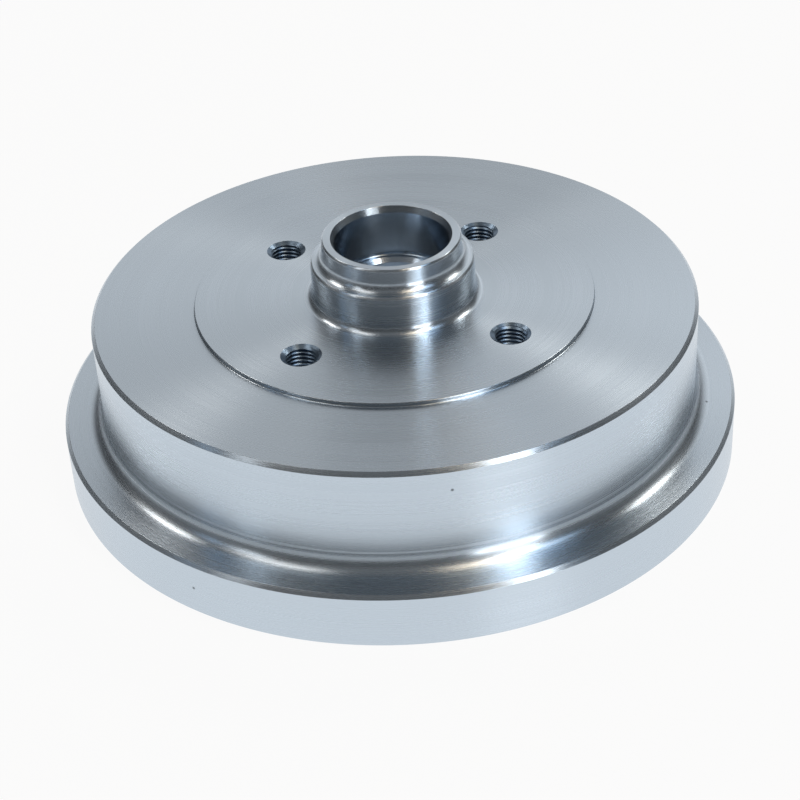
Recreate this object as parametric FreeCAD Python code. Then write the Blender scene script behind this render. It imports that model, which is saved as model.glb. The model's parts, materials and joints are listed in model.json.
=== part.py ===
import FreeCAD, Part
import math
import os

# Brake drum with a hub of its own, cast and turned as one piece of grey iron.
# The axis is Z. The drum rests on its open rim at height 0, with the hub's nose up.
# All sizes are in millimetres and all angles in degrees.

# Friction ring, which the brake shoes press on
FRICTION_DIAMETER = 200.0
BODY_WALL = 5.75
SHOE_LEAD_IN = 1.0

# Relief behind the friction surface, where the boring tool runs out
RELIEF_DEPTH = 1.0
RELIEF_WIDTH = 4.0
RELIEF_SLOPE = 1.5
RELIEF_CHAMFER = 1.5

# Flange round the open end and the groove that takes the back plate's lip
FLANGE_REACH = 14.05
FLANGE_HEIGHT = 20.0
FLANGE_CHAMFER = 1.2
FLANGE_FILLET = 6.0
RIM_CHAMFER = 0.4
SKIRT_WALL = 5.0
INNER_RING_WALL = 8.0
INNER_RING_SETBACK = 2.5
INNER_RING_CHAMFER = 0.6
GROOVE_DEPTH = 12.0
GROOVE_CHAMFER = 1.5

# Closed face with the raised pad that the wheel bolts against
DRUM_HEIGHT = 57.2
WEB_THICKNESS = 7.0
FACE_CHAMFER = 1.3
PAD_DIAMETER = 139.6
PAD_RISE = 1.45
PAD_FOOT_CHAMFER = 0.4
PAD_EDGE_CHAMFER = 0.25

# Wheel bolt holes: 12 mm thread with a 1.5 mm pitch, drilled to its core here
BOLT_COUNT = 4
BOLT_CIRCLE_DIAMETER = 100.0
BOLT_START_ANGLE = 49.91
TAP_DRILL_DIAMETER = 10.5
COUNTERSINK_DIAMETER = 14.0
COUNTERSINK_ANGLE = 120.0
BACK_CHAMFER = 0.8

# Cast bosses behind the web, which give the threads their length
BOLT_BOSS_DIAMETER = 22.0
BOLT_BOSS_LENGTH = 6.5
BOLT_BOSS_DRAFT = 3.0
BOLT_BOSS_FOOT = 2.5
BOLT_BOSS_CHAMFER = 0.8

# Outer bearing seat and the nose round it
OUTER_SEAT_DIAMETER = 39.878
OUTER_SEAT_DEPTH = 19.1
SEAT_LEAD_IN = 1.1
SEAT_LEAD_IN_DEPTH = 2.2
NOSE_WALL = 4.261
NOSE_HEIGHT = 23.6
NOSE_CHAMFER = 0.6

# Spigot that centres the wheel, 57 mm across, and its shoulder round the nose
SPIGOT_STEP = 4.3
SPIGOT_HEIGHT = 15.35
SPIGOT_CHAMFER = 0.7
SPIGOT_FILLET = 2.8
SHOULDER_FILLET = 3.4

# Lip between the bearings, which the outer bearing cup stands on
LIP_STAND = 3.3
LIP_WIDTH = 4.5
LIP_CHAMFER = 1.4

# Grease space between the bearings
CAVITY_RADIUS = 20.5
CAVITY_SLOPE = 3.0

# Inner bearing seat and the seal seat below it
INNER_SEAT_DIAMETER = 50.292
INNER_SEAT_LENGTH = 15.0
SEAL_SEAT_STEP = 2.854
SEAL_SEAT_LENGTH = 9.0
SEAL_LEAD_IN = 1.0

# Hub inside the drum, cast with draft
HUB_SETBACK = 13.2
HUB_WALL = 4.5
HUB_DRAFT = 2.0
HUB_ROOT_CHAMFER = 5.0
HUB_CHAMFER = 1.0

# The fillets or chamfers at the two ends of a line take at most this share of it together
CORNER_SHARE = 0.96

# Tools that cut a hole stand this far past the faces
CUT_MARGIN = 2.0

friction_radius = FRICTION_DIAMETER / 2
body_radius = friction_radius + BODY_WALL
flange_radius = body_radius + FLANGE_REACH
relief_radius = friction_radius + RELIEF_DEPTH
groove_inner_radius = friction_radius + INNER_RING_WALL
groove_outer_radius = flange_radius - SKIRT_WALL
pad_radius = PAD_DIAMETER / 2

outer_seat_radius = OUTER_SEAT_DIAMETER / 2
nose_radius = outer_seat_radius + NOSE_WALL
spigot_radius = nose_radius + SPIGOT_STEP
lip_radius = outer_seat_radius - LIP_STAND
inner_seat_radius = INNER_SEAT_DIAMETER / 2
seal_seat_radius = inner_seat_radius + SEAL_SEAT_STEP
hub_radius = seal_seat_radius + HUB_WALL

pad_top = DRUM_HEIGHT + PAD_RISE
web_underside = DRUM_HEIGHT - WEB_THICKNESS
boss_underside = web_underside - BOLT_BOSS_LENGTH
relief_foot = web_underside - RELIEF_WIDTH
groove_top = INNER_RING_SETBACK + GROOVE_DEPTH

shoulder = DRUM_HEIGHT + SPIGOT_HEIGHT
nose_top = DRUM_HEIGHT + NOSE_HEIGHT
outer_seat_floor = nose_top - OUTER_SEAT_DEPTH
lip_underside = outer_seat_floor - LIP_WIDTH
seal_seat_floor = HUB_SETBACK + SEAL_SEAT_LENGTH
inner_seat_floor = seal_seat_floor + INNER_SEAT_LENGTH
hub_root_radius = hub_radius + (web_underside - HUB_SETBACK) * math.tan(math.radians(HUB_DRAFT))

UP = FreeCAD.Vector(0, 0, 1)
CENTRE = FreeCAD.Vector(0, 0, 0)


def sharp(radius, height):
    """Corner of a half section that stays sharp."""
    return radius, height, "sharp", 0


def filleted(radius, height, fillet):
    """Corner replaced by an arc of this radius, tangent to both its lines."""
    return radius, height, "arc", fillet


def chamfered(radius, height, leg):
    """Corner cut off by a line that starts this far along each of its lines."""
    return radius, height, "line", leg


def unit(vector):
    """Copy of a vector with length 1."""
    return FreeCAD.Vector(vector).normalize()


def wanted_leg(before, corner, after, form, size):
    """How far along both its lines a corner's own edge would reach."""
    if form == "sharp":
        return 0
    if form == "line":
        return size
    return size / math.tan((before - corner).getAngle(after - corner) / 2)


def corner_edge(before, corner, after, form, leg):
    """Ends of a corner's own edge, and that edge, which is None at a sharp corner."""
    if form == "sharp":
        return corner, corner, None
    to_before = before - corner
    to_after = after - corner
    start = corner + unit(to_before) * leg
    end = corner + unit(to_after) * leg
    if form == "line":
        return start, end, Part.LineSegment(start, end).toShape()
    half_angle = to_before.getAngle(to_after) / 2
    fillet = leg * math.tan(half_angle)
    inward = unit(unit(to_before) + unit(to_after))
    middle = corner + inward * (fillet / math.sin(half_angle) - fillet)
    return start, end, Part.Arc(start, middle, end).toShape()


def turned(corners):
    """Solid of revolution about Z from the corners of its half section."""
    points = [FreeCAD.Vector(radius, 0, height) for radius, height, form, size in corners]
    count = len(corners)
    legs = []
    for index, (radius, height, form, size) in enumerate(corners):
        after = points[(index + 1) % count]
        legs.append(wanted_leg(points[index - 1], points[index], after, form, size))
    shares = []
    for index in range(count):
        following = (index + 1) % count
        room = CORNER_SHARE * points[index].distanceToPoint(points[following])
        both_legs = legs[index] + legs[following]
        shares.append(room / both_legs if both_legs > room else 1)
    worked = []
    for index, (radius, height, form, size) in enumerate(corners):
        after = points[(index + 1) % count]
        leg = legs[index] * min(shares[index - 1], shares[index])
        worked.append(corner_edge(points[index - 1], points[index], after, form, leg))
    edges = []
    for index, (start, end, edge) in enumerate(worked):
        if edge is not None:
            edges.append(edge)
        next_start = worked[(index + 1) % count][0]
        edges.append(Part.LineSegment(end, next_start).toShape())
    return Part.Face(Part.Wire(edges)).revolve(CENTRE, UP, 360)


def casting():
    """Whole turned form, from the rim up the outside and back down the inside."""
    flange = [
        chamfered(flange_radius, 0, RIM_CHAMFER),
        chamfered(flange_radius, FLANGE_HEIGHT, FLANGE_CHAMFER),
        filleted(body_radius, FLANGE_HEIGHT, FLANGE_FILLET),
    ]
    closed_face = [
        chamfered(body_radius, DRUM_HEIGHT, FACE_CHAMFER),
        chamfered(pad_radius, DRUM_HEIGHT, PAD_FOOT_CHAMFER),
        chamfered(pad_radius, pad_top, PAD_EDGE_CHAMFER),
    ]
    hub_nose = [
        filleted(spigot_radius, pad_top, SPIGOT_FILLET),
        chamfered(spigot_radius, shoulder, SPIGOT_CHAMFER),
        filleted(nose_radius, shoulder, SHOULDER_FILLET),
        chamfered(nose_radius, nose_top, NOSE_CHAMFER),
    ]
    outer_seat = [
        sharp(outer_seat_radius + SEAT_LEAD_IN, nose_top),
        sharp(outer_seat_radius, nose_top - SEAT_LEAD_IN_DEPTH),
        sharp(outer_seat_radius, outer_seat_floor),
        chamfered(lip_radius, outer_seat_floor, LIP_CHAMFER),
        sharp(lip_radius, lip_underside),
        sharp(CAVITY_RADIUS, lip_underside - CAVITY_SLOPE),
    ]
    inner_seat = [
        sharp(CAVITY_RADIUS, inner_seat_floor),
        sharp(inner_seat_radius, inner_seat_floor),
        sharp(inner_seat_radius, seal_seat_floor),
        sharp(seal_seat_radius, seal_seat_floor),
        chamfered(seal_seat_radius, HUB_SETBACK, SEAL_LEAD_IN),
    ]
    inside = [
        chamfered(hub_radius, HUB_SETBACK, HUB_CHAMFER),
        chamfered(hub_root_radius, web_underside, HUB_ROOT_CHAMFER),
        chamfered(relief_radius, web_underside, RELIEF_CHAMFER),
        sharp(relief_radius, relief_foot),
        sharp(friction_radius, relief_foot - RELIEF_SLOPE),
        chamfered(friction_radius, INNER_RING_SETBACK, SHOE_LEAD_IN),
    ]
    groove = [
        chamfered(groove_inner_radius, INNER_RING_SETBACK, INNER_RING_CHAMFER),
        chamfered(groove_inner_radius, groove_top, GROOVE_CHAMFER),
        chamfered(groove_outer_radius, groove_top, GROOVE_CHAMFER),
        sharp(groove_outer_radius, 0),
    ]
    return turned(flange + closed_face + hub_nose + outer_seat + inner_seat + inside + groove)


def bolt_boss():
    """Tapered boss about Z that hangs from the web. Its flared foot ends inside the web."""
    tip_radius = BOLT_BOSS_DIAMETER / 2
    waist = web_underside - BOLT_BOSS_FOOT
    waist_radius = tip_radius + (waist - boss_underside) * math.tan(math.radians(BOLT_BOSS_DRAFT))
    root = web_underside + WEB_THICKNESS / 2
    root_radius = waist_radius + root - waist
    return turned([
        sharp(0, boss_underside),
        chamfered(tip_radius, boss_underside, BOLT_BOSS_CHAMFER),
        sharp(waist_radius, waist),
        sharp(root_radius, root),
        sharp(0, root),
    ])


def bolt_hole():
    """Cutter about Z: tapping drill, countersunk mouth and a chamfer at the back."""
    drill_radius = TAP_DRILL_DIAMETER / 2
    mouth_radius = COUNTERSINK_DIAMETER / 2
    back_radius = drill_radius + BACK_CHAMFER
    mouth_depth = (mouth_radius - drill_radius) / math.tan(math.radians(COUNTERSINK_ANGLE / 2))
    return turned([
        sharp(0, boss_underside - CUT_MARGIN),
        sharp(back_radius, boss_underside - CUT_MARGIN),
        sharp(back_radius, boss_underside),
        sharp(drill_radius, boss_underside + BACK_CHAMFER),
        sharp(drill_radius, pad_top - mouth_depth),
        sharp(mouth_radius, pad_top),
        sharp(mouth_radius, pad_top + CUT_MARGIN),
        sharp(0, pad_top + CUT_MARGIN),
    ])


def round_bolt_circle(shape):
    """Copies of a shape made about Z, one at each wheel bolt."""
    copies = []
    for index in range(BOLT_COUNT):
        copy = shape.copy()
        copy.translate(FreeCAD.Vector(BOLT_CIRCLE_DIAMETER / 2, 0, 0))
        copy.rotate(CENTRE, UP, BOLT_START_ANGLE + index * 360 / BOLT_COUNT)
        copies.append(copy)
    return copies


def brake_drum():
    """The turned casting with its bosses, then the bolt holes."""
    whole = casting().fuse(round_bolt_circle(bolt_boss()))
    return whole.cut(round_bolt_circle(bolt_hole())).removeSplitter()


drum = brake_drum()
os.makedirs("parts", exist_ok=True)
drum.exportStep("parts/brake_drum.step")
print("solids", len(drum.Solids), "valid", drum.isValid(), "volume mm3", round(drum.Volume))
print("spigot diameter", round(2 * spigot_radius, 3), "flange diameter", round(2 * flange_radius, 3))
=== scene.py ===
# %% [markdown]
# # A brake drum, turned from one iron casting
# The drum is grey iron: cast in sand, then turned on a lathe on every face that a wheel, a
# bearing or a brake shoe touches. So nearly all of it is a body of revolution, and its looks come
# from two things: crisp turned corners, and fine grooves that run round the axis and pull each
# reflection into a streak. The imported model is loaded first, because it fixes the size and the
# place of everything that follows.

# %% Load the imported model
import json
import math

import bmesh
import bpy
from mathutils import Matrix, Quaternion, Vector


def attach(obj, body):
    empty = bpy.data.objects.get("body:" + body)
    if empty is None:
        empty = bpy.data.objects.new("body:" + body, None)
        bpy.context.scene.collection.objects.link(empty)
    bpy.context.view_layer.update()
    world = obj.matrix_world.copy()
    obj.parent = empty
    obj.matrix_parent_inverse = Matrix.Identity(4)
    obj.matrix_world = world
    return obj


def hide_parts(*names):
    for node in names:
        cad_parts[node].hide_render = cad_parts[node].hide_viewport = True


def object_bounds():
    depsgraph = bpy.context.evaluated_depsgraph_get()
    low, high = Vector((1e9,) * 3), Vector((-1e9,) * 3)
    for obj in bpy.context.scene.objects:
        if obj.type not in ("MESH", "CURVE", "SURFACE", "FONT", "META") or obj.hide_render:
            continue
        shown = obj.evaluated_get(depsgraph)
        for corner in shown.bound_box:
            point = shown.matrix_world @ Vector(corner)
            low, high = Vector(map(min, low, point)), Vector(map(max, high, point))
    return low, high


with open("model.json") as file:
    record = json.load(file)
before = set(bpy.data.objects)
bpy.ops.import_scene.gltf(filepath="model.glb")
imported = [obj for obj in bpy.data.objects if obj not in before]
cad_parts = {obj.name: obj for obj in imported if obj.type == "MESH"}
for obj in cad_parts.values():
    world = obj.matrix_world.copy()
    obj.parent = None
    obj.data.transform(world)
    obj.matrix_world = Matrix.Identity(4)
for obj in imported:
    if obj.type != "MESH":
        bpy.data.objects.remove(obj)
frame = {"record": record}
cad_low, cad_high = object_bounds()
print("solid model spans", [round(size, 4) for size in cad_high - cad_low], "m")

# %% [markdown]
# ## Sizes
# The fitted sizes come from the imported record's mounts and from the solid's own box, so the piece
# made here can't drift away from the solid. The rest are the small steps, chamfers and roundings
# that a drawing of the drum would give, in millimetres. Heights are measured up from the open
# rim.

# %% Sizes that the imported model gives
MM = 0.001
dims = {mount["name"]: mount["dims"] for mount in frame["record"]["mounts"]}
heights = {mount["name"]: mount["pos_m"][2] / MM for mount in frame["record"]["mounts"]}
flange_radius = min(-cad_low.x, -cad_low.y, cad_high.x, cad_high.y) / MM
nose_top = cad_high.z / MM
pad_top = heights["wheel_face"]
spigot_radius = dims["wheel_spigot"]["r_mm"]
outer_seat_radius = dims["outer_bearing_seat"]["r_mm"]
inner_seat_radius = dims["inner_bearing_seat"]["r_mm"]
seal_seat_radius = dims["seal_seat"]["r_mm"]
bolt_circle_radius = dims["wheel_bolts"]["pcd_mm"] / 2
bolt_count = dims["wheel_bolts"]["count"]
thread_core_radius = dims["wheel_bolts"]["hole_r_mm"]
print("flange radius", round(flange_radius, 3), "nose top", round(nose_top, 3))

# %% Sizes of the outside
FLANGE_STEP = 14.05
FLANGE_HEIGHT = 20.0
FLANGE_FILLET = 5.4
FLANGE_CHAMFER = 1.2
RIM_CHAMFER = 0.4
PAD_RADIUS = 69.8
PAD_RISE = 1.45
PAD_FOOT = 0.4
PAD_EDGE = 0.3
FACE_CHAMFER = 1.3
CREASE_TOP = 26.6
CREASE_FOOT = 26.1
CREASE_DEPTH = 0.06
CREASE_EDGE = 0.3
EDGE_BREAK = 0.15
body_radius = flange_radius - FLANGE_STEP
face_height = pad_top - PAD_RISE

# %% Sizes of the hub's nose and the bore
SPIGOT_TOP = 72.55
SPIGOT_CHAMFER = 0.7
SPIGOT_FILLET = 2.8
SPIGOT_STEP = 4.3
SHOULDER_FILLET = 3.4
NOSE_CHAMFER = 0.6
NOSE_EDGE = 0.35
SEAT_LEAD_IN = 1.1
SEAT_LEAD_IN_DEPTH = 2.2
LEAD_IN_EDGE = 0.2
SEAT_DEPTH = 19.1
SEAT_CORNER = 0.4
BORE_EDGE = 0.3
LIP_STAND = 3.3
LIP_WIDTH = 4.5
LIP_CHAMFER = 1.4
FINE_EDGE = 0.1
LIP_FOOT = 0.6
GREASE_SPACE_RADIUS = 20.5
GREASE_SPACE_SLOPE = 3.0
GREASE_SPACE_SHOULDER = 1.5
nose_radius = spigot_radius - SPIGOT_STEP
seat_floor = nose_top - SEAT_DEPTH
lip_radius = outer_seat_radius - LIP_STAND
lip_underside = seat_floor - LIP_WIDTH

# %% Sizes of the inside, which the photographed side hides
FRICTION_RADIUS = 100.0
SHOE_LEAD_IN = 1.0
RELIEF_RADIUS = 101.0
RELIEF_FOOT = 46.2
RELIEF_SLOPE = 1.5
RELIEF_FILLET = 1.8
WEB_UNDERSIDE = 50.2
HUB_END = 13.2
HUB_RADIUS = 32.5
HUB_ROOT_RADIUS = 33.79
HUB_ROOT_FILLET = 6.0
HUB_CHAMFER = 1.0
INNER_SEAT_TOP = 37.2
INNER_SEAT_FOOT = 22.2
SEAL_LEAD_IN = 1.0
RING_END = 2.5
RING_OUTER_RADIUS = 108.0
RING_CHAMFER = 0.6
SKIRT_WALL = 5.0
GROOVE_TOP = 14.5
GROOVE_FILLET = 2.0
groove_outer_radius = flange_radius - SKIRT_WALL

# %% [markdown]
# ## Turning tools
# A lathe makes a form by sweeping a profile round an axis, and `bmesh.ops.spin` does the same.
# The profile is drawn as one flat face in the XZ plane, because bevelling a corner of a face
# gives a true arc in that plane. Then the face is deleted, its outline is spun, and only the
# turned skin stays. Each corner says how large its rounding is and how many flats make it. 360
# steps leave less than five thousandths of a millimetre between the widest circle and its flats.

# %% Corners of a profile
SPIN_STEPS = 360
LINE_SHARE = 0.97
SHORTEST_LEG = 0.001
POLE_MERGE = 0.0001


def corner(radius, height, rounding=0.0, flats=0):
    """A corner of a half section in millimetres, with its rounding's radius and number of flats."""
    return {"at": Vector((radius, 0, height)), "rounding": rounding, "flats": flats}


def broken(radius, height):
    """A corner whose edge is only broken, as a tool or a file leaves it."""
    return corner(radius, height, EDGE_BREAK, 2)


def rounding_legs(corners):
    """How far along its two lines each corner's rounding starts, with room left on every line."""
    places = [item["at"] for item in corners]
    following = places[1:] + places[:1]
    legs = []
    for before, item, after in zip(places[-1:] + places[:-1], corners, following):
        half_angle = (before - item["at"]).angle(after - item["at"]) / 2
        legs.append(item["rounding"] / math.tan(half_angle))
    shares = []
    for at, after, leg, next_leg in zip(places, following, legs, legs[1:] + legs[:1]):
        room = LINE_SHARE * (after - at).length
        shares.append(min(1, room / max(leg + next_leg, SHORTEST_LEG)))
    shares_before = shares[-1:] + shares[:-1]
    return [leg * min(before, after) for leg, before, after in zip(legs, shares_before, shares)]


# %% The profile and its spin
def turned(corners, steps=SPIN_STEPS, axis_closed=False):
    """A bmesh of the skin that these corners of a half section sweep round the Z axis."""
    work = bmesh.new()
    points = [work.verts.new(item["at"]) for item in corners]
    work.faces.new(points)
    for point, item, leg in zip(points, corners, rounding_legs(corners)):
        if leg > 0:
            bmesh.ops.bevel(work, geom=[point], offset=leg, offset_type="OFFSET",
                            affect="VERTICES", segments=item["flats"], profile=0.5, material=-1)
    bmesh.ops.delete(work, geom=work.faces[:], context="FACES_ONLY")
    bmesh.ops.spin(work, geom=work.verts[:] + work.edges[:], cent=(0, 0, 0), axis=(0, 0, 1),
                   dvec=(0, 0, 0), angle=math.tau, steps=steps, use_merge=True)
    if axis_closed:
        bmesh.ops.remove_doubles(work, verts=work.verts[:], dist=POLE_MERGE)
    bmesh.ops.recalc_face_normals(work, faces=work.faces[:])
    return work


# %% From millimetres to an object in the shared frame
def as_object(work, name):
    """An object in metres from a bmesh in millimetres. The bmesh is freed."""
    bmesh.ops.scale(work, vec=(MM, MM, MM), verts=work.verts[:])
    mesh = bpy.data.meshes.new(name)
    work.to_mesh(mesh)
    work.free()
    piece = bpy.data.objects.new(name, mesh)
    bpy.context.scene.collection.objects.link(piece)
    return piece


# %% [markdown]
# ## The turned casting
# The half section runs from the rim up the outside, over the face and the hub's nose, down the
# bore and back along the inside. On the real drum each cut ends in a small chamfer whose edges
# are just broken, and these thin edges are what draws the bright and dark lines in the
# photograph. So every chamfer has its two corners here, each with a rounding of its own.

# %% The outside of the drum
# Each corner has its radius and height, and where it is rounded, the rounding and its flats.
flange = [
    broken(flange_radius - RIM_CHAMFER, 0),
    broken(flange_radius, RIM_CHAMFER),
    broken(flange_radius, FLANGE_HEIGHT - FLANGE_CHAMFER),
    broken(flange_radius - FLANGE_CHAMFER, FLANGE_HEIGHT),
    corner(body_radius + CREASE_DEPTH, FLANGE_HEIGHT, FLANGE_FILLET, 14),
    corner(body_radius + CREASE_DEPTH, CREASE_FOOT, CREASE_EDGE, 2),
    corner(body_radius, CREASE_TOP, CREASE_EDGE, 2),
]
closed_face = [
    broken(body_radius, face_height - FACE_CHAMFER),
    broken(body_radius - FACE_CHAMFER, face_height),
    corner(PAD_RADIUS, face_height, PAD_FOOT, 3),
    corner(PAD_RADIUS, pad_top, PAD_EDGE, 4),
]
print("outside corners", len(flange) + len(closed_face))

# %% The hub's nose and the bore under it
hub_nose = [
    corner(spigot_radius, pad_top, SPIGOT_FILLET, 10),
    broken(spigot_radius, SPIGOT_TOP - SPIGOT_CHAMFER),
    corner(spigot_radius - SPIGOT_CHAMFER, SPIGOT_TOP, FINE_EDGE, 2),
    corner(nose_radius, SPIGOT_TOP, SHOULDER_FILLET, 12),
    corner(nose_radius, nose_top - NOSE_CHAMFER, NOSE_EDGE, 4),
    corner(nose_radius - NOSE_CHAMFER, nose_top, NOSE_EDGE, 4),
]
bore = [
    corner(outer_seat_radius + SEAT_LEAD_IN, nose_top, LEAD_IN_EDGE, 3),
    corner(outer_seat_radius, nose_top - SEAT_LEAD_IN_DEPTH, BORE_EDGE, 2),
    corner(outer_seat_radius, seat_floor, SEAT_CORNER, 3),
    corner(lip_radius + LIP_CHAMFER, seat_floor, FINE_EDGE, 2),
    corner(lip_radius, seat_floor - LIP_CHAMFER, FINE_EDGE, 2),
    corner(lip_radius, lip_underside, LIP_FOOT, 3),
    corner(GREASE_SPACE_RADIUS, lip_underside - GREASE_SPACE_SLOPE, GREASE_SPACE_SHOULDER, 4),
    corner(GREASE_SPACE_RADIUS, INNER_SEAT_TOP, SEAT_CORNER, 2),
    corner(inner_seat_radius, INNER_SEAT_TOP, SEAT_CORNER, 3),
    corner(inner_seat_radius, INNER_SEAT_FOOT, BORE_EDGE, 2),
    corner(seal_seat_radius, INNER_SEAT_FOOT, SEAT_CORNER, 3),
    broken(seal_seat_radius, HUB_END + SEAL_LEAD_IN),
    broken(seal_seat_radius + SEAL_LEAD_IN, HUB_END),
]
print("nose and bore corners", len(hub_nose) + len(bore))

# %% The inside of the drum
inside = [
    broken(HUB_RADIUS - HUB_CHAMFER, HUB_END),
    broken(HUB_RADIUS, HUB_END + HUB_CHAMFER),
    corner(HUB_ROOT_RADIUS, WEB_UNDERSIDE, HUB_ROOT_FILLET, 10),
    corner(RELIEF_RADIUS, WEB_UNDERSIDE, RELIEF_FILLET, 6),
    corner(RELIEF_RADIUS, RELIEF_FOOT, BORE_EDGE, 2),
    corner(FRICTION_RADIUS, RELIEF_FOOT - RELIEF_SLOPE, BORE_EDGE, 2),
    broken(FRICTION_RADIUS, RING_END + SHOE_LEAD_IN),
    broken(FRICTION_RADIUS + SHOE_LEAD_IN, RING_END),
    broken(RING_OUTER_RADIUS - RING_CHAMFER, RING_END),
    broken(RING_OUTER_RADIUS, RING_END + RING_CHAMFER),
    corner(RING_OUTER_RADIUS, GROOVE_TOP, GROOVE_FILLET, 5),
    corner(groove_outer_radius, GROOVE_TOP, GROOVE_FILLET, 5),
    corner(groove_outer_radius, 0, BORE_EDGE, 2),
]
drum = as_object(turned(flange + closed_face + hub_nose + bore + inside), "brake_drum_turned")
print("turned casting", len(drum.data.polygons), "faces")

# %% [markdown]
# ## Bolt bosses, drilled holes and threads
# Behind each wheel bolt the web carries a cast boss, so that the thread is long enough. The hole
# is drilled to the thread's core, countersunk and tapped. A tap cuts one helical groove, so the
# cutter here is a real screw: a profile one pitch high, spun round with a rise of one pitch a
# turn. Booleans then do what the drill and the tap do. The thread is a 12 mm one with a 1.5 mm
# pitch.

# %% Sizes of the holes and bosses
BOLT_START_ANGLE = 49.91
THREAD_PITCH = 1.5
THREAD_RADIUS = 6.0
THREAD_CREST = 0.19
COUNTERSINK_RADIUS = 7.0
COUNTERSINK_HALF_ANGLE = 60
RIM_BLEND_WIDTH = 0.5
RIM_BLEND_RISE = 0.25
BACK_CHAMFER = 0.8
BOSS_TIP = 43.7
BOSS_TIP_ROUNDING = 1.0
BOSS_RADIUS = 11.0
BOSS_ROOT_RADIUS = 11.5
BOSS_FILLET = 3.0
BOSS_SKIRT_RADIUS = 16.0
BOSS_SKIRT_TAPER = 1.0
BOSS_SKIRT_RISE = 0.4
CUT_MARGIN = 2.0
HOLE_STEPS = 96
web_middle = (WEB_UNDERSIDE + face_height) / 2


# %% A boss and a drilled, countersunk hole
def boss_skin():
    """A cast boss about Z that hangs from the web. Its skirt ends inside the web."""
    return turned([
        corner(0, BOSS_TIP),
        corner(BOSS_RADIUS, BOSS_TIP, BOSS_TIP_ROUNDING, 4),
        corner(BOSS_ROOT_RADIUS, WEB_UNDERSIDE, BOSS_FILLET, 6),
        corner(BOSS_SKIRT_RADIUS, WEB_UNDERSIDE + BOSS_SKIRT_RISE),
        corner(BOSS_SKIRT_RADIUS - BOSS_SKIRT_TAPER, web_middle),
        corner(0, web_middle),
    ], steps=HOLE_STEPS, axis_closed=True)


def drill_skin():
    """A cutter about Z: the drill, the countersink and the chamfer at the back."""
    back_radius = thread_core_radius + BACK_CHAMFER
    cone_width = COUNTERSINK_RADIUS - thread_core_radius
    countersink_depth = cone_width / math.tan(math.radians(COUNTERSINK_HALF_ANGLE))
    return turned([
        corner(0, BOSS_TIP - CUT_MARGIN),
        corner(back_radius, BOSS_TIP - CUT_MARGIN),
        corner(back_radius, BOSS_TIP),
        corner(thread_core_radius, BOSS_TIP + BACK_CHAMFER),
        corner(thread_core_radius, pad_top - countersink_depth),
        corner(COUNTERSINK_RADIUS, pad_top, EDGE_BREAK, 3),
        corner(COUNTERSINK_RADIUS + RIM_BLEND_WIDTH, pad_top + RIM_BLEND_RISE),
        corner(COUNTERSINK_RADIUS + RIM_BLEND_WIDTH, pad_top + CUT_MARGIN),
        corner(0, pad_top + CUT_MARGIN),
    ], steps=HOLE_STEPS, axis_closed=True)


# %% A screw that cuts the thread
SCREW_STEPS = 48
SCREW_SPARE_TURNS = 2
SCREW_UNDERCUT = 0.02
SCREW_MERGE = 0.001


def screw_skin():
    """A right-hand screw about Z, cut off flat at both ends and closed there."""
    low = BOSS_TIP - CUT_MARGIN
    high = pad_top + CUT_MARGIN
    turns = math.ceil((high - low) / THREAD_PITCH) + SCREW_SPARE_TURNS
    start = low - THREAD_PITCH
    flank = (THREAD_PITCH - 2 * THREAD_CREST) / 2
    root_radius = thread_core_radius - SCREW_UNDERCUT
    work = bmesh.new()
    outline = [
        work.verts.new((root_radius, 0, start)),
        work.verts.new((THREAD_RADIUS, 0, start + flank)),
        work.verts.new((THREAD_RADIUS, 0, start + flank + THREAD_CREST)),
        work.verts.new((root_radius, 0, start + 2 * flank + THREAD_CREST)),
        work.verts.new((root_radius, 0, start + THREAD_PITCH)),
    ]
    for before, after in zip(outline, outline[1:]):
        work.edges.new((before, after))
    bmesh.ops.spin(work, geom=work.verts[:] + work.edges[:], cent=(0, 0, 0), axis=(0, 0, 1),
                   dvec=(0, 0, THREAD_PITCH / SCREW_STEPS), angle=math.tau * turns,
                   steps=SCREW_STEPS * turns, use_merge=False)
    bmesh.ops.remove_doubles(work, verts=work.verts[:], dist=SCREW_MERGE)
    for height, normal in ((low, (0, 0, -1)), (high, (0, 0, 1))):
        bmesh.ops.bisect_plane(work, geom=work.verts[:] + work.edges[:] + work.faces[:],
                               plane_co=(0, 0, height), plane_no=normal, clear_outer=True)
        rim = [edge for edge in work.edges if edge.is_boundary
               and all(abs(vert.co.z - height) < SCREW_MERGE for vert in edge.verts)]
        bmesh.ops.contextual_create(work, geom=rim)
    bmesh.ops.recalc_face_normals(work, faces=work.faces[:])
    return work


# %% Cut or join the four of them with the drum
bolt_turns = [math.radians(BOLT_START_ANGLE + index * 360 / bolt_count)
              for index in range(bolt_count)]


def round_bolt_circle(work, name):
    """One object with a copy of a bmesh at each wheel bolt. The bmesh is freed."""
    first = work.verts[:] + work.edges[:] + work.faces[:]
    copies = [first]
    for _ in range(bolt_count - 1):
        copies.append(bmesh.ops.duplicate(work, geom=first)["geom"])
    for turn, geometry in zip(bolt_turns, copies):
        verts = [item for item in geometry if isinstance(item, bmesh.types.BMVert)]
        bmesh.ops.translate(work, vec=(bolt_circle_radius, 0, 0), verts=verts)
        bmesh.ops.rotate(work, cent=(0, 0, 0), matrix=Matrix.Rotation(turn, 3, "Z"), verts=verts)
    return as_object(work, name)


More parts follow.
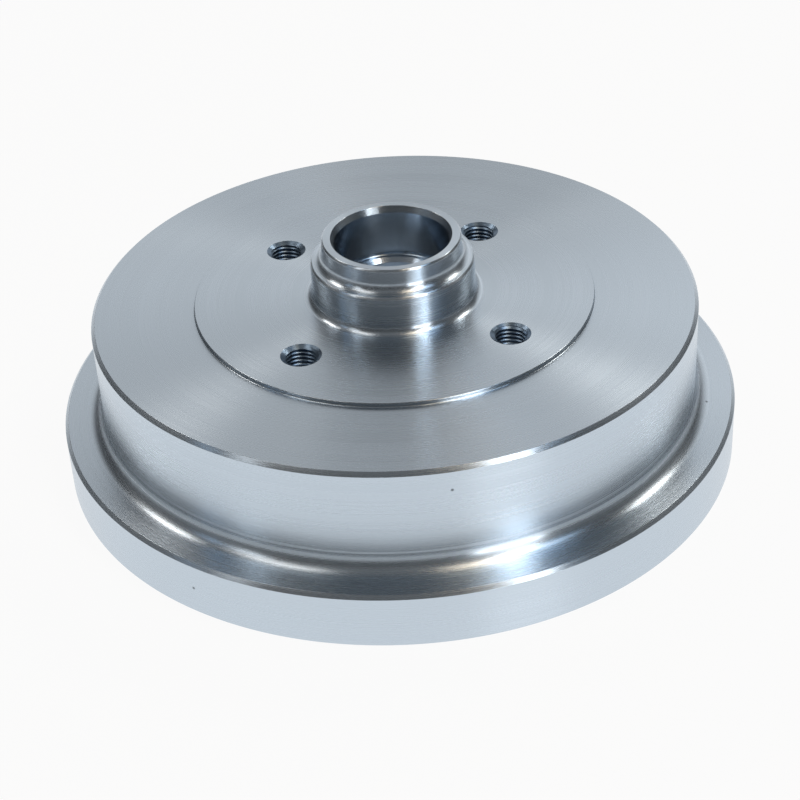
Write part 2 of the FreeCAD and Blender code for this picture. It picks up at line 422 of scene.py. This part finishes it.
def combine(piece, tool, operation):
    """Applies one boolean to a piece and removes the tool."""
    step = piece.modifiers.new("combine", "BOOLEAN")
    step.operation = operation
    step.solver = "MANIFOLD"
    step.object = tool
    depsgraph = bpy.context.evaluated_depsgraph_get()
    result = bpy.data.meshes.new_from_object(piece.evaluated_get(depsgraph))
    piece.modifiers.remove(step)
    old = piece.data
    piece.data = result
    result.name = piece.name
    bpy.data.meshes.remove(old)
    bpy.data.objects.remove(tool)
    print(operation.lower(), "leaves", len(piece.data.polygons), "faces")


combine(drum, round_bolt_circle(boss_skin(), "bosses"), "UNION")
combine(drum, round_bolt_circle(drill_skin(), "drills"), "DIFFERENCE")
combine(drum, round_bolt_circle(screw_skin(), "screws"), "DIFFERENCE")

# %% [markdown]
# ## Colour and node helpers
# Colours are written as sRGB hex, as a paint or photo tool shows them, and one function turns
# them into the linear values that shaders need. One more function adds a node with its settings
# and links, so that each material below reads as a list of what it is made of.

# %% Colours and nodes
def linear(hex_colour):
    """Linear RGBA from an sRGB hex colour, by the sRGB standard's curve."""
    channels = [int(hex_colour[start:start + 2], 16) / 255 for start in (1, 3, 5)]
    return (*(c / 12.92 if c <= 0.04045 else ((c + 0.055) / 1.055) ** 2.4 for c in channels), 1)


def add(tree, kind, links=None, values=None, **settings):
    """Adds one node: links and values are keyed by input name or number."""
    node = tree.nodes.new(kind)
    for key, value in settings.items():
        setattr(node, key, value)
    for key, value in (values or {}).items():
        node.inputs[key].default_value = value
    for key, source in (links or {}).items():
        tree.links.new(source, node.inputs[key])
    return node


def new_material(name):
    """An empty node material, its tree and its output node."""
    material = bpy.data.materials.new(name)
    material.use_nodes = True
    material.node_tree.nodes.clear()
    return material, material.node_tree, add(material.node_tree, "ShaderNodeOutputMaterial")


# %% [markdown]
# ## Where a point lies on the lathe
# Everything a lathe leaves behind depends on how far a point is from the axis and how high it is.
# This little chain turns the object position into radius, height and the direction of the cut,
# which the finishes share. The direction of the cut is the tangent of an anisotropic metal: its
# grooves run that way, so it scatters light across them and hardly at all along them.

# %% Lathe coordinates
def place_in_mm(tree):
    """A socket with the object position in millimetres."""
    place = add(tree, "ShaderNodeTexCoord").outputs["Object"]
    return add(tree, "ShaderNodeVectorMath", {0: place}, {3: 1 / MM}, operation="SCALE").outputs[0]


def lathe_coordinates(tree, in_mm):
    """Sockets with the radius and height in millimetres, and the direction of the cut."""
    flat = add(tree, "ShaderNodeVectorMath", {0: in_mm}, {1: (1, 1, 0)}, operation="MULTIPLY")
    radius = add(tree, "ShaderNodeVectorMath", {0: flat.outputs[0]}, operation="LENGTH")
    height = add(tree, "ShaderNodeSeparateXYZ", {0: in_mm})
    across = add(tree, "ShaderNodeVectorMath", {1: flat.outputs[0]}, {0: (0, 0, 1)},
                 operation="CROSS_PRODUCT")
    along = add(tree, "ShaderNodeVectorMath", {0: across.outputs[0]}, operation="NORMALIZE")
    return radius.outputs["Value"], height.outputs["Z"], along.outputs[0]


# %% [markdown]
# ## Turned grey iron
# Freshly turned grey cast iron is a bright, slightly bluish metal. The lathe's feed leaves a fine
# spiral of grooves, a fifth of a millimetre apart, which is too fine to show one by one from
# here. It shows as anisotropy, and as rings that differ a little where the tool's load changed.
# Those rings are drawn coarser than the feed, about one millimetre wide, so that they show. The
# nose and the spigot are turned with a finer feed, and the bearing and seal seats are bored
# finest of all.

# %% The specks
SPECK_CORE = 0.225
SPECK_REACH = 0.675
SPECK_TONE = 0.25
SPECKS = [(-69.9, -97.3, 10.0), (14.4, -104.8, 49.1), (107.4, -23.6, 20.0)]


def specked(tree, in_mm, tone):
    """The tone with the few dark specks, pores in the iron that the turning opened."""
    for place in SPECKS:
        away = add(tree, "ShaderNodeVectorMath", {0: in_mm}, {1: place}, operation="DISTANCE")
        clear = add(tree, "ShaderNodeMapRange", {"Value": away.outputs["Value"]},
                    {"From Min": SPECK_CORE, "From Max": SPECK_REACH, "To Min": SPECK_TONE})
        darker = add(tree, "ShaderNodeMath", {0: tone, 1: clear.outputs[0]}, operation="MULTIPLY")
        tone = darker.outputs[0]
    return tone


# %% The turned finish
FEED_RING = 0.9
WIDE_RING = 7.0
WIDE_SHARE = 0.45
RING_LOW = 0.3
RING_HIGH = 0.7
ROUGHNESS_SWING = 0.03
GROOVE_DEPTH = 0.02
QUARTER_TURN = 0.25


def turned_iron(name, colour, roughness, anisotropy, ring_tone, ring_bump):
    """Iron with grooves round the axis. ring_tone and ring_bump are how far the rings show."""
    material, tree, output = new_material(name)
    in_mm = place_in_mm(tree)
    radius, height, along = lathe_coordinates(tree, in_mm)
    on_section = add(tree, "ShaderNodeCombineXYZ", {"X": radius, "Y": height}).outputs[0]
    fine = add(tree, "ShaderNodeTexNoise", {"Vector": on_section},
               {"Scale": 1 / FEED_RING, "Detail": 3.0, "Roughness": 0.7}, noise_dimensions="2D")
    wide = add(tree, "ShaderNodeTexNoise", {"Vector": on_section},
               {"Scale": 1 / WIDE_RING, "Detail": 2.0, "Roughness": 0.5}, noise_dimensions="2D")
    rings = add(tree, "ShaderNodeMix", {2: fine.outputs["Fac"], 3: wide.outputs["Fac"]},
                {0: WIDE_SHARE}, data_type="FLOAT").outputs[0]
    tone = add(tree, "ShaderNodeMapRange", {"Value": rings},
               {"From Min": RING_LOW, "From Max": RING_HIGH,
                "To Min": 1 - ring_tone, "To Max": 1 + ring_tone})
    marked = specked(tree, in_mm, tone.outputs[0])
    tinted = add(tree, "ShaderNodeMix", {7: marked}, {0: 1, 6: linear(colour)}, data_type="RGBA",
                 blend_type="MULTIPLY")
    rough = add(tree, "ShaderNodeMapRange", {"Value": rings},
                {"From Min": RING_LOW, "From Max": RING_HIGH,
                 "To Min": roughness - ROUGHNESS_SWING, "To Max": roughness + ROUGHNESS_SWING})
    bump = add(tree, "ShaderNodeBump", {"Height": fine.outputs["Fac"]},
               {"Strength": ring_bump, "Distance": GROOVE_DEPTH * MM})
    metal = add(tree, "ShaderNodeBsdfPrincipled",
                {"Base Color": tinted.outputs[2], "Roughness": rough.outputs[0],
                 "Normal": bump.outputs[0], "Tangent": along},
                {"Metallic": 1.0, "Anisotropic": anisotropy, "Anisotropic Rotation": QUARTER_TURN})
    tree.links.new(metal.outputs[0], output.inputs["Surface"])
    return material


turned_finish = turned_iron("turned_grey_iron", "#CAD6E1", roughness=0.27, anisotropy=0.9,
                            ring_tone=0.03, ring_bump=0.03)
nose_finish = turned_iron("fine_turned_grey_iron", "#CAD6E1", roughness=0.26, anisotropy=0.9,
                          ring_tone=0.02, ring_bump=0.02)
bored_finish = turned_iron("bored_grey_iron", "#BCC9D6", roughness=0.2, anisotropy=0.8,
                           ring_tone=0.02, ring_bump=0.0)
print("turned, fine turned and bored finishes made")

# %% [markdown]
# ## As-cast iron
# Inside the drum the web, the hub's flank and the bosses are left as they came out of the sand: a
# dull dark grey with the grain of the mould in it. The grain is about half a millimetre, and
# wider patches of darker scale lie over it.

# %% The as-cast finish
SAND_GRAIN = 0.55
SAND_DEPTH = 0.25
SCALE_PATCH = 14.0
SCALE_STOPS = ((0.35, "#5C6064"), (0.65, "#7C8084"))


def cast_iron(name):
    """Dull iron skin with sand grain and patches of scale."""
    material, tree, output = new_material(name)
    in_mm = place_in_mm(tree)
    grain = add(tree, "ShaderNodeTexNoise", {"Vector": in_mm},
                {"Scale": 1 / SAND_GRAIN, "Detail": 4.0, "Roughness": 0.65})
    patches = add(tree, "ShaderNodeTexNoise", {"Vector": in_mm},
                  {"Scale": 1 / SCALE_PATCH, "Detail": 5.0, "Roughness": 0.6})
    ramp = add(tree, "ShaderNodeValToRGB", {"Fac": patches.outputs["Fac"]})
    for stop, (position, colour) in zip(ramp.color_ramp.elements, SCALE_STOPS):
        stop.position = position
        stop.color = linear(colour)
    bump = add(tree, "ShaderNodeBump", {"Height": grain.outputs["Fac"]},
               {"Strength": 0.6, "Distance": SAND_DEPTH * MM})
    metal = add(tree, "ShaderNodeBsdfPrincipled",
                {"Base Color": ramp.outputs["Color"], "Normal": bump.outputs[0]},
                {"Metallic": 0.7, "Roughness": 0.62})
    tree.links.new(metal.outputs[0], output.inputs["Surface"])
    return material


cast_finish = cast_iron("as_cast_grey_iron")
print("as-cast finish made")

# %% [markdown]
# ## Drilled and tapped iron
# A drill and a tap tear grey iron more than a lathe tool shears it, so the holes have no grooves
# round the drum's axis. Their colour is darker and bluer than the turned iron: painted shade of the
# deep holes and painted reflection of each hole's own far side.

# %% The tapped finish
TAP_CHATTER = 0.4
CHATTER_DEPTH = 0.03


def tapped_iron_with_painted_shade(name):
    """Iron for the holes, with a darker, bluer colour of painted shade and reflection, an even
    gloss and the small marks of drill and tap.
    """
    material, tree, output = new_material(name)
    marks = add(tree, "ShaderNodeTexNoise", {"Vector": place_in_mm(tree)},
                {"Scale": 1 / TAP_CHATTER, "Detail": 2.0, "Roughness": 0.6})
    bump = add(tree, "ShaderNodeBump", {"Height": marks.outputs["Fac"]},
               {"Strength": 0.3, "Distance": CHATTER_DEPTH * MM})
    # The darker, bluer base colour below is painted shade and painted reflection inside the holes.
    metal = add(tree, "ShaderNodeBsdfPrincipled", {"Normal": bump.outputs[0]},
                {"Base Color": linear("#788B9F"), "Metallic": 1.0, "Roughness": 0.3})
    tree.links.new(metal.outputs[0], output.inputs["Surface"])
    return material


tapped_finish_with_painted_shade = tapped_iron_with_painted_shade("tapped_grey_iron_painted_shade")
print("tapped finish made")

# %% [markdown]
# ## Which face has which finish
# The finishes meet at corners of the profile, so a face's finish follows from where its centre
# lies in the half section. A margin keeps a face whose centre lies just past such a corner on its
# own side.

# %% The finishes of one casting
drum.data.materials.clear()
for finish in (turned_finish, bored_finish, cast_finish, tapped_finish_with_painted_shade, nose_finish):
    drum.data.materials.append(finish)
TURNED, BORED, AS_CAST, TAPPED, FINE_TURNED = range(len(drum.data.materials))

# %% Where each finish lies
HOLE_MARGIN = 0.1
HOLE_TOP_MARGIN = 0.05
GREASE_SPACE_MARGIN = 0.3
LIP_MARGIN = 0.5
HUB_MARGIN = 0.1
HUB_END_MARGIN = 1.0
RELIEF_MARGIN = 2.0
SEAT_MARGIN = 0.5
SEAT_TOP_MARGIN = 1.0
NOSE_TOP_MARGIN = 0.3


def from_bolt_axis(centre):
    """Distance of a point from the nearest bolt's axis, in millimetres."""
    return min(math.hypot(centre.x - bolt_circle_radius * math.cos(turn),
                          centre.y - bolt_circle_radius * math.sin(turn)) for turn in bolt_turns)


def finish_of(centre):
    """Index of the finish at a point of the surface, in millimetres."""
    radius = math.hypot(centre.x, centre.y)
    height = centre.z
    in_hole = from_bolt_axis(centre) < COUNTERSINK_RADIUS + HOLE_MARGIN
    if in_hole and height < pad_top - HOLE_TOP_MARGIN:
        return TAPPED
    in_grease_space = (radius < GREASE_SPACE_RADIUS + GREASE_SPACE_MARGIN
                       and INNER_SEAT_TOP < height < lip_underside - LIP_MARGIN)
    under_web = (HUB_RADIUS + HUB_MARGIN < radius < RELIEF_RADIUS - RELIEF_MARGIN
                 and HUB_END + HUB_END_MARGIN < height < web_middle)
    if in_grease_space or under_web:
        return AS_CAST
    in_outer_seat = (radius < outer_seat_radius + SEAT_MARGIN
                     and height < nose_top - NOSE_TOP_MARGIN)
    in_inner_seats = (radius < seal_seat_radius + SEAT_MARGIN
                      and height < INNER_SEAT_TOP + SEAT_TOP_MARGIN)
    if in_outer_seat or in_inner_seats:
        return BORED
    on_nose = radius < spigot_radius + SPIGOT_FILLET and height > pad_top
    return FINE_TURNED if on_nose else TURNED


# %% [markdown]
# ## Clean skin, sharp edges and shading
# The booleans leave pairs of vertices in one place, which are merged first, so that the skin
# stays closed when it is cut into triangles. Then edges that turn by more than 32 degrees are
# marked sharp, and a Weighted Normal modifier keeps the wide flats flat in shading beside the
# small roundings.

# %% Finish the drum's skin
DOUBLES_APART = 0.001
SHARP_ANGLE = math.radians(32)
FLAT_WEIGHT = 80
work = bmesh.new()
work.from_mesh(drum.data)
bmesh.ops.remove_doubles(work, verts=work.verts[:], dist=DOUBLES_APART * MM)
for face in work.faces:
    face.smooth = True
    face.material_index = finish_of(face.calc_center_median() / MM)
for edge in work.edges:
    edge.smooth = edge.calc_face_angle(0) < SHARP_ANGLE
work.to_mesh(drum.data)
work.free()
shading = drum.modifiers.new("flat_faces_stay_flat", "WEIGHTED_NORMAL")
shading.keep_sharp = True
shading.weight = FLAT_WEIGHT
triangles = sum(len(polygon.vertices) - 2 for polygon in drum.data.polygons)
print("drum has", triangles, "triangles")

# %% The drum rides on the one body and stands for its solid
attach(drum, "root")
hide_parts("brake_drum")

# %% [markdown]
# ## Floor
# The floor is plain white paint that takes the drum's shadow. For the camera, and in reflections,
# most of it glows at white instead, so that the background is white without more light on the
# drum.

# %% Floor
FLOOR_HALF = 12.0
FLOOR_GLOW = 0.93
floor_work = bmesh.new()
bmesh.ops.create_grid(floor_work, x_segments=1, y_segments=1, size=FLOOR_HALF / MM)
floor = as_object(floor_work, "floor")
floor_material, tree, output = new_material("white_studio_floor")
path = add(tree, "ShaderNodeLightPath")
seen = add(tree, "ShaderNodeMath",
           {0: path.outputs["Is Camera Ray"], 1: path.outputs["Is Glossy Ray"]},
           operation="ADD", use_clamp=True)
seen_too = add(tree, "ShaderNodeMath", {0: seen.outputs[0], 1: path.outputs["Is Transmission Ray"]},
               operation="ADD", use_clamp=True)
share = add(tree, "ShaderNodeMath", {0: seen_too.outputs[0]}, {1: FLOOR_GLOW}, operation="MULTIPLY")
paint = add(tree, "ShaderNodeBsdfDiffuse", None, {"Color": linear("#F4F4F4")})
glow = add(tree, "ShaderNodeEmission", None, {"Color": (1, 1, 1, 1), "Strength": 1.0})
mixed = add(tree, "ShaderNodeMixShader",
            {0: share.outputs[0], 1: paint.outputs[0], 2: glow.outputs[0]})
tree.links.new(mixed.outputs[0], output.inputs["Surface"])
floor.data.materials.append(floor_material)
print("floor made")

# %% [markdown]
# ## Studio
# A turned part shows its surroundings more than its own colour, so the studio matters: a dark
# room with soft light on the wall behind, and a few soft lamps that draw the bright spokes across
# the turned face and the thin lines along its edges. Each patch of light on the room fades out
# round its centre. Every direction is seen from the drum, in degrees, with the azimuth clockwise
# from straight behind it.

# %% The room and its lit wall
ROOM_GREY = 0.05
PATCH_CORE = 0.35
LIT_PATCHES = [
    # azimuth, elevation, radius, radiance
    (355, 26, 30, 0.58),
    (27, 21, 20, 0.62),
    (20, 42, 15, 0.40),
    (350, 6, 24, 0.25),
    (190, 65, 32, 0.12),
    (85, 25, 34, 0.07),
    (272, 25, 34, 0.07),
]


def towards(azimuth, elevation):
    """A direction from the drum."""
    turn, lift = math.radians(azimuth), math.radians(elevation)
    level = Vector((math.sin(turn), math.cos(turn), 0))
    return level * math.cos(lift) + Vector((0, 0, math.sin(lift)))


def lit_patch(tree, direction, azimuth, elevation, radius, radiance):
    """A socket with the light of one soft round patch. Inside its core it is even."""
    facing = add(tree, "ShaderNodeVectorMath", {0: direction}, {1: towards(azimuth, elevation)},
                 operation="DOT_PRODUCT")
    edge = math.cos(math.radians(radius))
    core = math.cos(math.radians(PATCH_CORE * radius))
    patch = add(tree, "ShaderNodeMapRange", {"Value": facing.outputs["Value"]},
                {"From Min": edge, "From Max": core, "To Max": radiance},
                interpolation_type="SMOOTHSTEP")
    return patch.outputs[0]


# %% The world
world = bpy.data.worlds.new("grey_studio")
bpy.context.scene.world = world
world.use_nodes = True
tree = world.node_tree
tree.nodes.clear()
direction = add(tree, "ShaderNodeTexCoord").outputs["Generated"]
first, *others = [lit_patch(tree, direction, *patch) for patch in LIT_PATCHES]
light_sum = add(tree, "ShaderNodeMath", {0: first}, {1: ROOM_GREY}, operation="ADD")
for patch in others:
    light_sum = add(tree, "ShaderNodeMath", {0: patch, 1: light_sum.outputs[0]}, operation="ADD")
background = add(tree, "ShaderNodeBackground", {"Strength": light_sum.outputs[0]},
                 {"Color": (1, 1, 1, 1)})
add(tree, "ShaderNodeOutputWorld", {"Surface": background.outputs[0]})
print("room made with", len(LIT_PATCHES), "lit patches")

# %% Lamps
LAMP_DISTANCE = 1.6
# Cycles gives a rectangle with this many watts on each square metre a radiance of one.
WATTS_PER_RADIANCE = 4
TARGET = Vector((0, 0, face_height * MM))


def lamp(name, azimuth, elevation, width, depth, radiance, colour):
    """A soft box. Its width and depth are the angles that it fills as seen from the drum."""
    light = bpy.data.lights.new(name, "AREA")
    light.shape = "RECTANGLE"
    light.size = 2 * LAMP_DISTANCE * math.tan(math.radians(width) / 2)
    light.size_y = 2 * LAMP_DISTANCE * math.tan(math.radians(depth) / 2)
    light.energy = WATTS_PER_RADIANCE * radiance * light.size * light.size_y
    light.color = linear(colour)[:3]
    holder = bpy.data.objects.new(name, light)
    bpy.context.scene.collection.objects.link(holder)
    ray = towards(azimuth, elevation)
    holder.location = TARGET + ray * LAMP_DISTANCE
    holder.rotation_mode = "QUATERNION"
    holder.rotation_quaternion = ray.to_track_quat("Z", "Y")
    holder.visible_camera = False


# name, azimuth, elevation, width, depth, radiance, colour
lamp("key_top", 124, 70, 15, 18, 3.0, "#FFE4C3")
lamp("key_blue", 108, 63, 16, 16, 2.1, "#CCE6FF")
lamp("key_middle", 135, 50, 9, 22, 4.3, "#FFFFFF")
lamp("key_foot", 147, 5, 23, 22, 3.4, "#FFFFFF")
lamp("right", 46, 47, 14, 7, 7.0, "#FFF8EE")
lamp("left_back", 314, 49, 12, 9, 5.0, "#FFF6ED")
lamp("left", 265, 66, 16, 18, 1.8, "#FFF6ED")
lamp("left_edge", 247, 46, 10, 9, 1.8, "#FFFFFF")
lamp("left_edge_blue", 261, 41, 8, 9, 0.8, "#CCE6FF")
print("lamps made")

# %% [markdown]
# ## Camera
# The photograph looks down at the drum by 34 degrees from about 70 centimetres, with a slight
# turn about the line of sight. The place was worked out from the ellipses of the face, the flange
# and the bolt holes, so that the render lies over the photograph.

# %% Camera
CAMERA_PLACE = Vector((0, -582.5, 410.4))
CAMERA_AIM = Vector((10.614, -19.645, 24.8))
CAMERA_ROLL = -2.6546
FOCAL_LENGTH = 87.435
SENSOR_WIDTH = 36.0
SHIFT_TO_THE_SIDE = -0.0384
NEAREST_SEEN = 0.01
FARTHEST_SEEN = 60.0
camera_data = bpy.data.cameras.new("camera")
camera_data.sensor_width = SENSOR_WIDTH
camera_data.lens = FOCAL_LENGTH
camera_data.shift_x = SHIFT_TO_THE_SIDE
camera_data.clip_start = NEAREST_SEEN
camera_data.clip_end = FARTHEST_SEEN
camera = bpy.data.objects.new("camera", camera_data)
bpy.context.scene.collection.objects.link(camera)
camera.location = CAMERA_PLACE * MM
camera.rotation_mode = "QUATERNION"
level = (CAMERA_AIM - CAMERA_PLACE).to_track_quat("-Z", "Y")
camera.rotation_quaternion = level @ Quaternion((0, 0, 1), math.radians(CAMERA_ROLL))
bpy.context.scene.camera = camera
bpy.context.scene.view_settings.view_transform = "Standard"
looks_down = math.degrees(math.asin((CAMERA_PLACE - CAMERA_AIM).normalized().z))
print("camera looks down by", round(looks_down, 2), "degrees")
